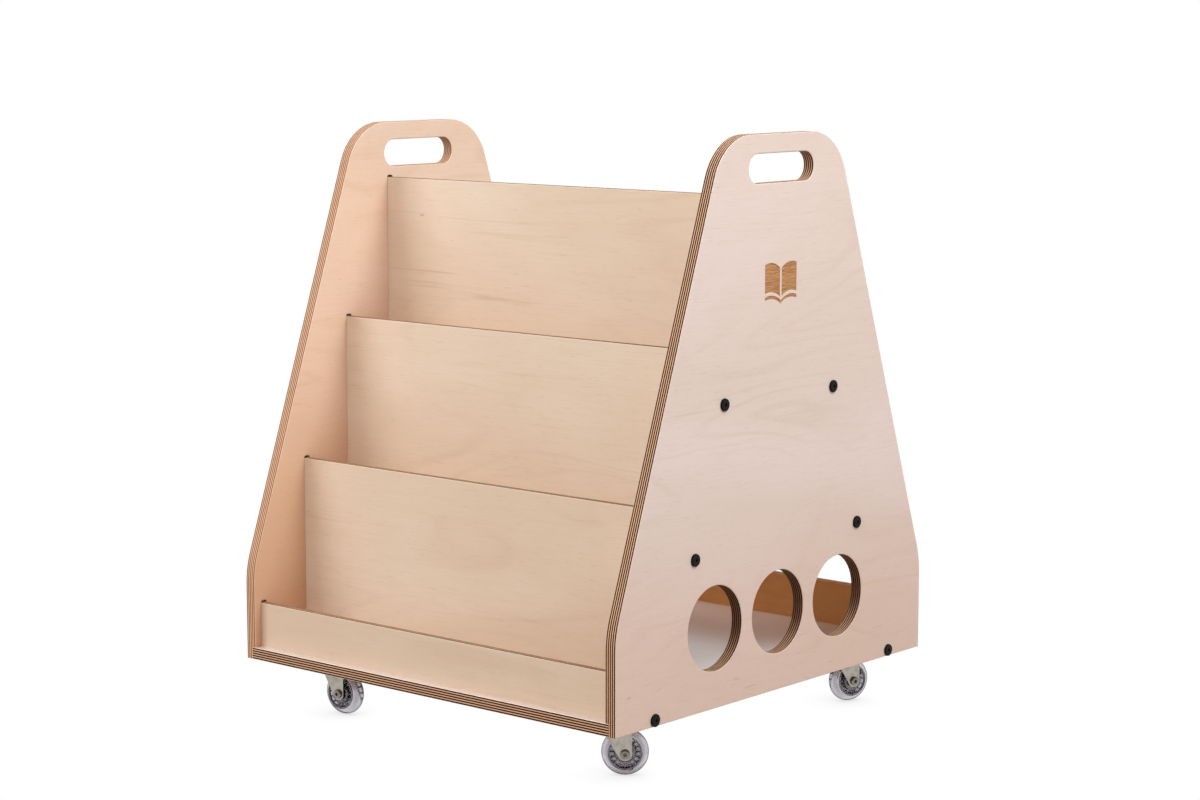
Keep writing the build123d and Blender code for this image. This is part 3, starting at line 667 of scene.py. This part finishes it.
def core_mesh(name, outer, half_width):
    """The moulded centre: hub, web and rim with thin radial ribs on both faces."""
    sections = []
    angles = []
    edge = RIB_SHARE / 2
    slope = RIB_SHARE * RIB_SLOPE
    stops = [(-edge - slope, False), (-edge, True), (edge, True), (edge + slope, False)]
    stops += [(stop, False) for stop in WEB_STOPS]
    for rib in range(RIB_COUNT):
        for offset, on_rib in stops:
            angles.append(2 * math.pi * (rib + offset) / RIB_COUNT)
            sections.append(core_section(outer, half_width, on_rib))
    return turned_mesh(name, sections, angles)


def build_wheels(core_look, tread_look):
    """Smooth clear wheels on the axles of the CAD wheels, in the CAD wheels' sizes."""
    for corner, joint in wheel_joints().items():
        centre = Vector(joint["pos_m"])
        axis = Vector(joint["axis"]).normalized()
        core_node = "caster_" + corner + "_wheel_core"
        tread_node = "caster_" + corner + "_wheel_tread"
        _, core_outer, core_width = wheel_reach(core_node, centre, axis)
        tread_inner, tread_outer, tread_width = wheel_reach(tread_node, centre, axis)
        core = core_mesh(corner + "_core", core_outer, core_width)
        tread = tread_mesh(corner + "_tread", tread_inner, tread_outer, tread_width)
        pieces = (
            (core_node, core, core_look, "clear_core"),
            (tread_node, tread, tread_look, "clear_tread"),
        )
        for node, mesh, look, slot in pieces:
            piece = bpy.data.objects.new("clear_" + mesh.name, mesh)
            bpy.context.scene.collection.objects.link(piece)
            piece.location = centre
            piece.rotation_euler = axis.to_track_quat("Z", "Y").to_euler()
            mesh.materials.append(look.material)
            bpy.context.view_layer.update()
            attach(piece, "wheel_" + corner)
            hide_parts(node)


def dress_hardware():
    """Metal on the bolts, nuts and casters, and clear plastic wheels."""
    black = metal("black_bolt", srgb(12, 11, 11), 0.50, 0.0, 0.12)
    axle = metal("axle_steel", srgb(142, 136, 128), 0.34)
    zinc = metal("zinc_plate", srgb(196, 194, 188), 0.30)
    nickel = metal("nickel_sheet", srgb(176, 168, 158), 0.24)
    steel = metal("bearing_steel", srgb(150, 148, 146), 0.24)
    core = clear_plastic("clear_core", srgb(250, 250, 252), srgb(128, 116, 122), 90.0)
    tread = clear_plastic("clear_tread", srgb(252, 252, 253), srgb(146, 138, 148), 30.0)
    paint("connector_bolts", black)
    paint("barrel_nuts", zinc)
    looks = {
        "plate": nickel, "plate_screws": zinc, "king_pin": zinc, "swivel_balls": steel,
        "fork": nickel, "axle_bolt": axle, "axle_nut": axle, "axle_sleeve": steel,
        "wheel_bearings": steel,
    }
    for corner in wheel_joints():
        for piece, shader in looks.items():
            paint("caster_" + corner + "_" + piece, shader)
    build_wheels(core, tread)


# ----------------------------------------------------------------- the studio
def make_floor():
    """A white floor with a soft contact shadow. Only the light it bounces has a colour."""
    mesh = bpy.data.meshes.new("floor")
    sheet = bmesh.new()
    bmesh.ops.create_grid(sheet, x_segments=1, y_segments=1, size=FLOOR_HALF_SIZE)
    sheet.to_mesh(mesh)
    sheet.free()
    floor = bpy.data.objects.new("floor", mesh)
    bpy.context.scene.collection.objects.link(floor)
    shader = Shader("studio_floor")
    shader.set(Base_Color=FLOOR_BOUNCE, Roughness=0.8, Specular_IOR_Level=0.1)
    openness = shader.openness(CONTACT_SHADOW_REACH, 8)
    glow = shader.node("ShaderNodeEmission")
    shade = shader.span(openness, 0.0, 0.95, CONTACT_SHADOW_LEVEL, 1.0)
    shader.feed(glow.inputs["Color"], shader.join(shade, shade, shade))
    blend = shader.node("ShaderNodeMixShader")
    shader.feed(blend.inputs[0], shader.node("ShaderNodeLightPath").outputs["Is Diffuse Ray"])
    shader.feed(blend.inputs[1], glow.outputs[0])
    shader.feed(blend.inputs[2], shader.surface.outputs[0])
    shader.feed(shader.tree.nodes["Material Output"].inputs["Surface"], blend.outputs[0])
    mesh.materials.append(shader.material)


def softbox(name, place, target, size, power):
    """A square white light that faces a point."""
    light = bpy.data.lights.new(name, "AREA")
    light.shape = "SQUARE"
    light.size = size
    light.energy = power
    lamp = bpy.data.objects.new(name, light)
    lamp.location = place
    lamp.rotation_euler = (Vector(target) - Vector(place)).to_track_quat("-Z", "Y").to_euler()
    bpy.context.scene.collection.objects.link(lamp)


def light_studio():
    """White surroundings that light softly, a softbox on the right and two in front."""
    world = bpy.data.worlds.new("studio")
    bpy.context.scene.world = world
    world.use_nodes = True
    tree = world.node_tree
    background = tree.nodes["Background"]
    path = tree.nodes.new("ShaderNodeLightPath")
    level = tree.nodes.new("ShaderNodeMapRange")
    level.inputs["To Max"].default_value = AMBIENT_LEVEL
    tree.links.new(path.outputs["Is Diffuse Ray"], level.inputs["Value"])

    # Polished surfaces see a dim room behind the camera, and white everywhere else.
    towards = tree.nodes.new("ShaderNodeVectorMath")
    towards.operation = "DOT_PRODUCT"
    towards.inputs[1].default_value = Vector(CAMERA_PLACE).normalized()
    tree.links.new(tree.nodes.new("ShaderNodeTexCoord").outputs["Generated"], towards.inputs[0])
    room = tree.nodes.new("ShaderNodeMapRange")
    room.inputs["From Min"].default_value = DIM_ROOM_SPAN[0]
    room.inputs["From Max"].default_value = DIM_ROOM_SPAN[1]
    room.inputs["To Min"].default_value = 1.0
    room.inputs["To Max"].default_value = DIM_ROOM_LEVEL
    tree.links.new(towards.outputs["Value"], room.inputs["Value"])
    tree.links.new(room.outputs[0], level.inputs["To Min"])
    tree.links.new(level.outputs[0], background.inputs["Strength"])
    background.inputs["Color"].default_value = WHITE
    for lamp in SOFTBOXES:
        softbox(*lamp)
    bpy.context.scene.view_settings.view_transform = "Standard"


def place_camera():
    """The camera that looks at the cart from the front right."""
    camera = bpy.data.cameras.new("camera")
    camera.sensor_width = SENSOR_WIDTH_MM
    camera.lens = CAMERA_LENS_MM
    holder = bpy.data.objects.new("camera", camera)
    holder.location = CAMERA_PLACE
    holder.rotation_euler = (math.radians(90.0 - CAMERA_PITCH), 0.0, math.radians(CAMERA_YAW))
    bpy.context.scene.collection.objects.link(holder)
    bpy.context.scene.camera = holder


dress_plywood()
dress_hardware()
make_floor()
light_studio()
place_camera()
